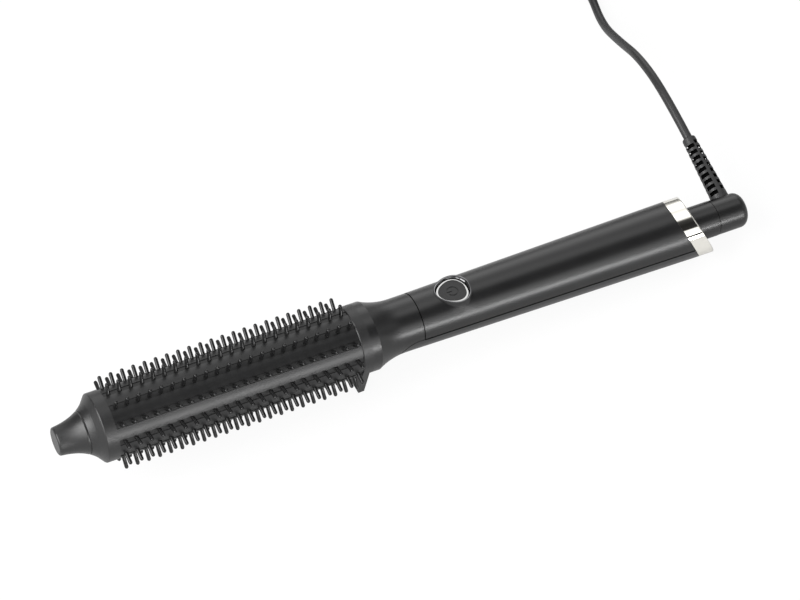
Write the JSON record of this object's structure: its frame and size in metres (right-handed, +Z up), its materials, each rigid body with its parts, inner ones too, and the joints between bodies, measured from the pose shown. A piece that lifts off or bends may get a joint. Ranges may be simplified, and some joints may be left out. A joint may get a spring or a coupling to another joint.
{
  "type": "heated_styling_brush",
  "caption": "Heated hair styling brush with a bristled barrel, cool tip, stand foot, tapered handle with one button, and a swivel cord with a plug",
  "frame": {"origin": "Centre of the footprint of the brush without its cord, on the table that it lies on", "axes": "+X from the nose to the swivel end, +Z up, +Y to the side on which the cord leaves"},
  "size_m": [0.4517, 0.2943, 0.0541],
  "materials": {
    "black_plastic": "lightly glossy black plastic",
    "satin_black_plastic": "glossy black plastic",
    "barrel_coat": "smooth black coating on aluminium",
    "bristle_plastic": "matte black heat-proof plastic",
    "polished_trim": "polished plated trim",
    "brushed_band": "polished metal band",
    "soft_black": "matte black flexible moulding",
    "cord_jacket": "satin black flexible jacket",
    "heat_insulator": "pale heat-proof moulding",
    "heater_ceramic": "white fired ceramic plate",
    "insulating_tape": "amber insulating film",
    "heat_spreader_metal": "extruded aluminium",
    "screw_steel": "bright steel",
    "contact_brass": "bright brass",
    "board_green": "green coated circuit board",
    "component_black": "moulded black component",
    "component_blue": "blue sleeved capacitor",
    "component_pale": "pale moulded plastic",
    "lamp_lens": "red lamp lens",
    "lead_white": "white silicone lead",
    "lead_red": "red insulated lead"
  },
  "bodies": {
    "brush": {"nose_cap": "black_plastic", "front_collar": "black_plastic", "rear_collar": "black_plastic", "neck_sleeve": "black_plastic", "swivel_socket": "black_plastic", "upper_casing": "satin_black_plastic", "lower_casing": "satin_black_plastic", "heater_barrel": "barrel_coat", "bristle_strip_01": "bristle_plastic", "bristle_strip_02": "bristle_plastic", "bristle_strip_03": "bristle_plastic", "bristle_strip_04": "bristle_plastic", "bristle_strip_05": "bristle_plastic", "bristle_strip_06": "bristle_plastic", "bristle_strip_07": "bristle_plastic", "bristle_strip_08": "bristle_plastic", "bristle_strip_09": "bristle_plastic", "bristle_strip_10": "bristle_plastic", "bristle_strip_11": "bristle_plastic", "bristle_strip_12": "bristle_plastic", "button_bezel": "polished_trim", "end_band": "brushed_band", "front_insulator": "heat_insulator", "rear_insulator": "heat_insulator", "heating_plate": "heater_ceramic", "insulating_film": "insulating_tape", "heat_spreader_upper": "heat_spreader_metal", "heat_spreader_lower": "heat_spreader_metal", "nose_screw": "screw_steel", "collar_screws": "screw_steel", "casing_screws": "screw_steel", "slip_contacts": "contact_brass", "control_board": "board_green", "tact_switch": "component_black", "controller_chip": "component_black", "power_switch": "component_black", "thermal_cutout": "component_black", "contact_block": "component_black", "smoothing_capacitor": "component_blue", "terminal_block": "component_pale", "temperature_sensor": "component_pale", "status_lamp": "lamp_lens", "heater_leads": "lead_white", "supply_leads": "lead_red"},
    "button": {"power_button": "satin_black_plastic", "button_ring": "polished_trim", "switch_plunger": "component_pale"},
    "swivel": {"swivel_spindle": "screw_steel", "contact_rings": "contact_brass", "retaining_clip": "screw_steel", "swivel_elbow": "black_plastic", "strain_relief": "soft_black", "cord_lead": "cord_jacket", "cord_coil": "cord_jacket", "cord_tail": "cord_jacket", "cord_tie": "cord_jacket", "plug_body": "cord_jacket", "plug_pins": "contact_brass"}
  },
  "joints": [
    {"name": "power_button_press", "type": "slide", "parent": "brush", "child": "button", "axis": [-0.0615, 0, -0.9981], "range_m": [0, 0.0005], "stiffness_N_per_m": 900, "springref_m": -0.0008},
    {"name": "cord_swivel", "type": "hinge", "parent": "brush", "child": "swivel", "pos_m": [0.15613, 0, 0.01462], "axis": [0.9981, 0, -0.0615], "continuous": true}
  ]
}
